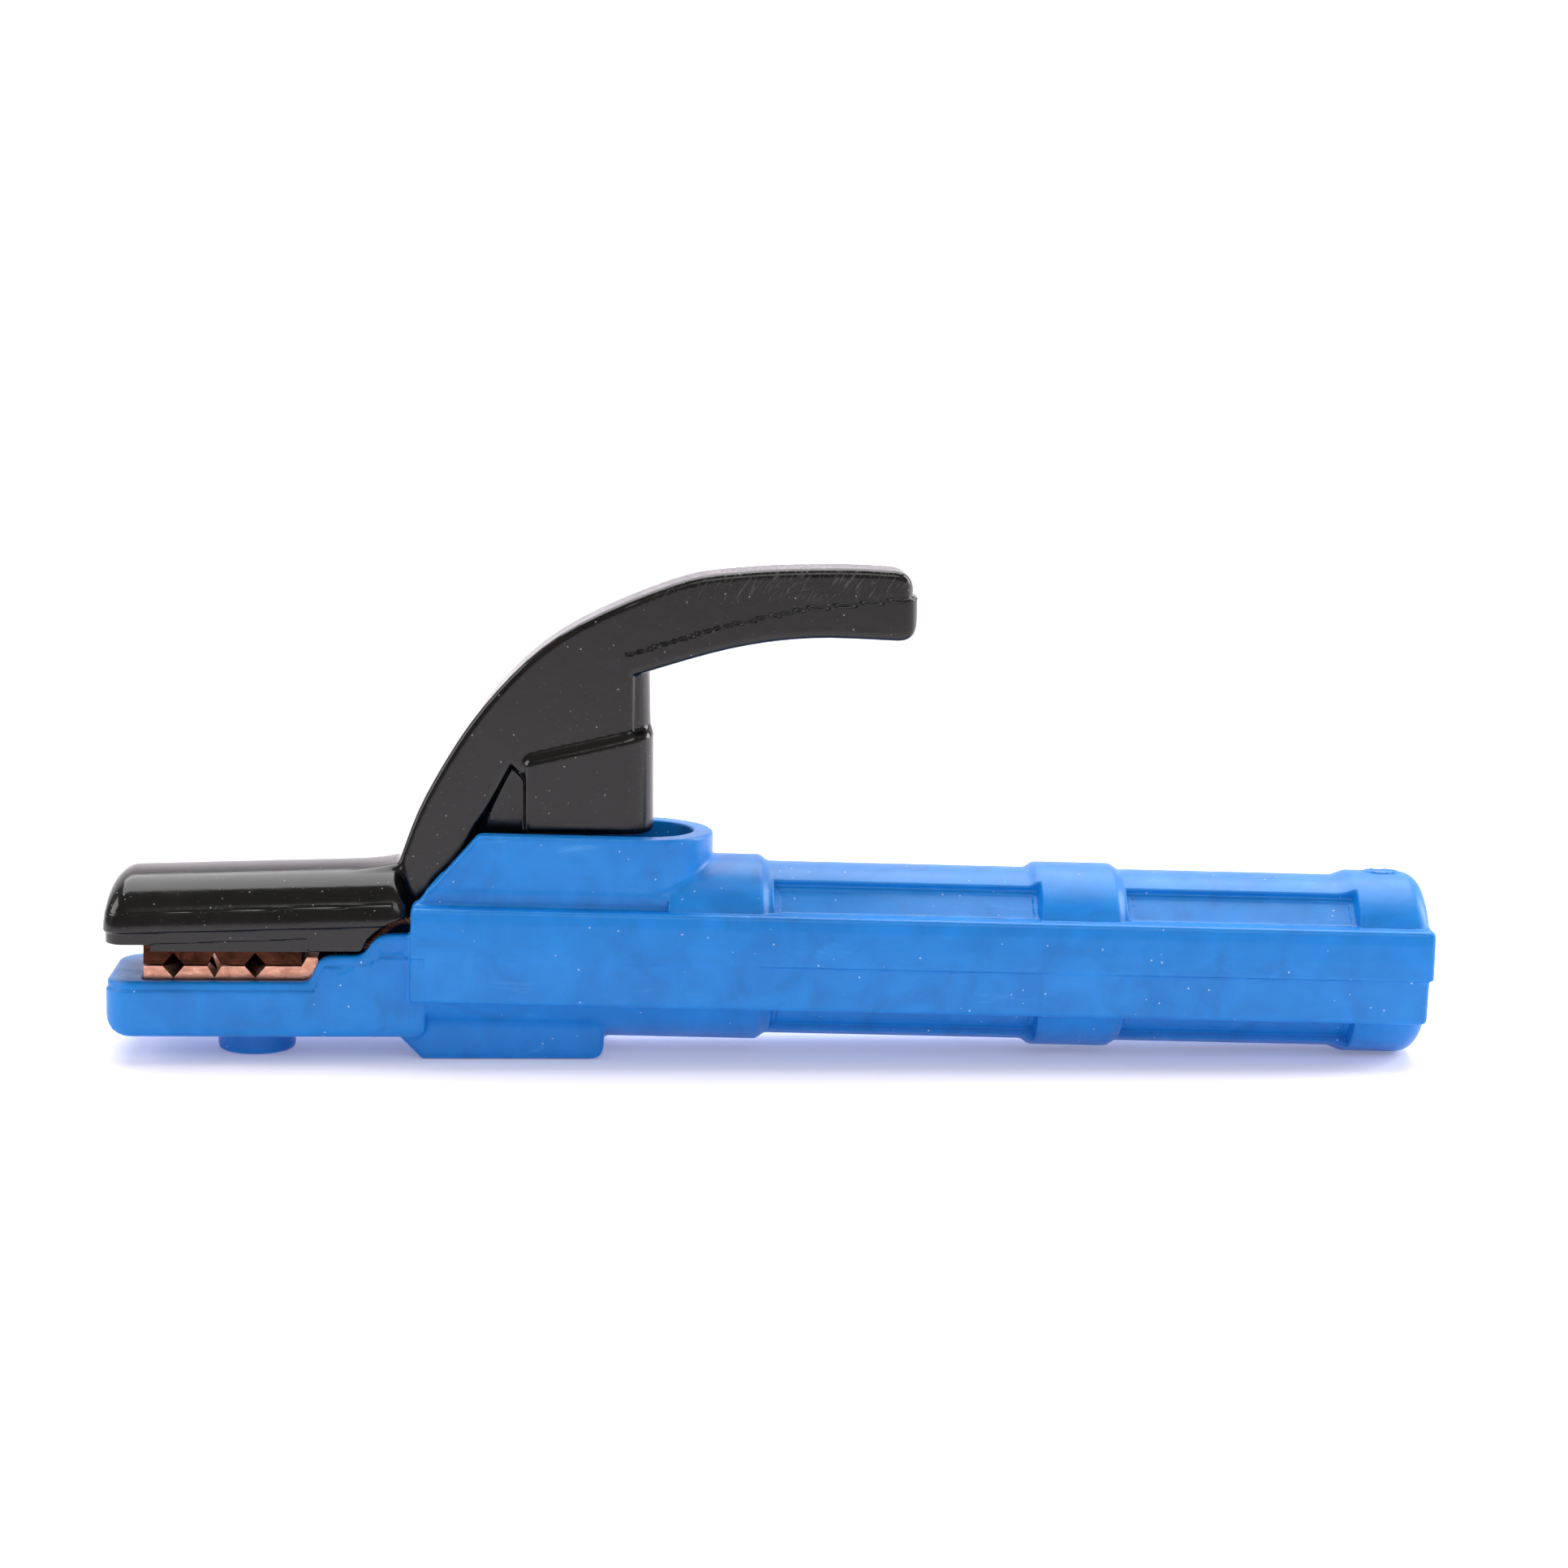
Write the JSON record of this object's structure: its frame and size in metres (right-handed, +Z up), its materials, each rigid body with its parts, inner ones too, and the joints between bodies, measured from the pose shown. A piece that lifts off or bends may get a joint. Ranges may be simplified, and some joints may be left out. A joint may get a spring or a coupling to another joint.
{
  "type": "welding electrode holder",
  "caption": "Tong-type welding electrode holder: insulated body with round handle and cable duct, sprung lever with jaw cover and hooked grip, copper jaws.",
  "frame": {"origin": "on the table, under the middle of the object's box as it lies on its foot with the jaws closed", "axes": "+X along the object to its cable end, +Z up from the table to the grip, +Y across"},
  "size_m": [0.251, 0.0358, 0.0933],
  "materials": {
    "blue_moulding": "compression-moulded thermoset, glossy, slightly mottled",
    "black_moulding": "compression-moulded thermoset, glossy",
    "copper": "bright cast and milled copper",
    "copper_dark": "tarnished cast copper",
    "copper_braid": "flat braid of bare copper wire",
    "brass": "turned",
    "zinc_steel": "zinc plated",
    "spring_steel": "hardened and oiled",
    "fibre": "vulcanised fibre"
  },
  "bodies": {
    "body": {"insulating_body": "blue_moulding", "lower_jaw": "copper", "cable_socket": "brass", "cable_set_screws": "zinc_steel", "jaw_screw": "zinc_steel", "jaw_screw_washer": "zinc_steel", "jaw_lock_washer": "spring_steel", "pivot_pin": "zinc_steel", "pivot_circlip": "spring_steel", "pivot_washers": "brass", "spring_seat": "fibre", "lever_spring": "spring_steel", "shunt_braid": "copper_braid", "shunt_lower_lug": "copper", "shunt_lower_screw": "zinc_steel"},
    "tong_lever": {"lever": "black_moulding", "upper_jaw": "copper_dark", "pivot_bush": "brass", "spring_cap": "spring_steel", "shunt_upper_lug": "copper", "shunt_upper_screw": "zinc_steel"}
  },
  "joints": [
    {"name": "lever_hinge", "type": "hinge", "parent": "body", "child": "tong_lever", "pos_m": [-0.055, 0, 0.023], "axis": [0, 1, 0], "range_deg": [0, 16], "stiffness_Nm_per_rad": 9, "springref_deg": -14.32, "deforming": ["lever_spring", "shunt_braid"]}
  ]
}
